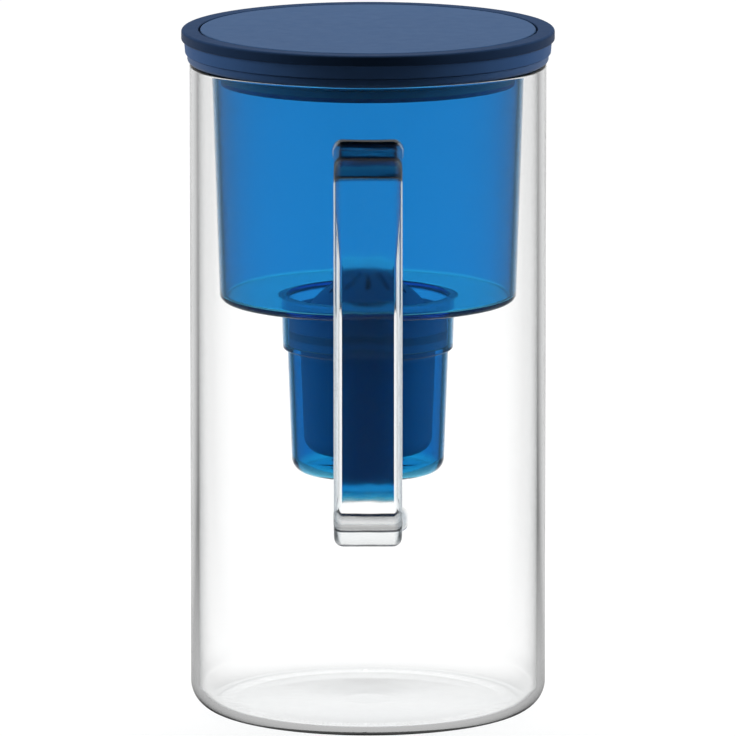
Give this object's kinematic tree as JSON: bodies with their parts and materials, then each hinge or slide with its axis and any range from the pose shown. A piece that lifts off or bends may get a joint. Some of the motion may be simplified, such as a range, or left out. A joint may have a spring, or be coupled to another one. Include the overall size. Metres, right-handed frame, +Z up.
{
  "type": "water filter pitcher",
  "caption": "Glass jug with a fused glass strap handle, a translucent funnel hung on its rim that holds a filter cartridge, and a flat plug-in lid.",
  "frame": {"origin": "middle of the jug's base, on the surface that it stands on", "axes": "+Z up along the jug's axis, the handle towards -Y, the pour side towards +Y"},
  "size_m": [0.136, 0.177, 0.2511],
  "materials": {
    "clear_glass": "polished",
    "blue_plastic": "polished",
    "navy_plastic": "satin",
    "navy_disc": "satin",
    "gasket_silicone": "satin",
    "cartridge_plastic": "satin",
    "seal_rubber": "matte",
    "screen_mesh": "matte",
    "white_felt": "matte",
    "carbon_granules": "matte",
    "resin_beads": "matte"
  },
  "bodies": {
    "jug": {"glass_jug": "clear_glass", "glass_handle": "clear_glass"},
    "funnel": {"funnel": "blue_plastic"},
    "cartridge": {"cartridge_head": "cartridge_plastic", "cartridge_shell": "cartridge_plastic", "cartridge_seal": "seal_rubber", "inlet_screen": "screen_mesh", "carbon_bed": "carbon_granules", "divider_felt": "white_felt", "resin_bed": "resin_beads", "outlet_screen": "screen_mesh"},
    "lid": {"lid_body": "navy_plastic", "lid_top_disc": "navy_disc", "lid_gasket": "gasket_silicone"}
  },
  "joints": [
    {"name": "funnel_lift", "type": "slide", "parent": "jug", "child": "funnel", "axis": [0, 0, 1], "range_m": [0, 0.165]},
    {"name": "cartridge_lift", "type": "slide", "parent": "funnel", "child": "cartridge", "axis": [0, 0, 1], "range_m": [0, 0.07]},
    {"name": "lid_lift", "type": "slide", "parent": "funnel", "child": "lid", "axis": [0, 0, 1], "range_m": [0, 0.06]}
  ]
}
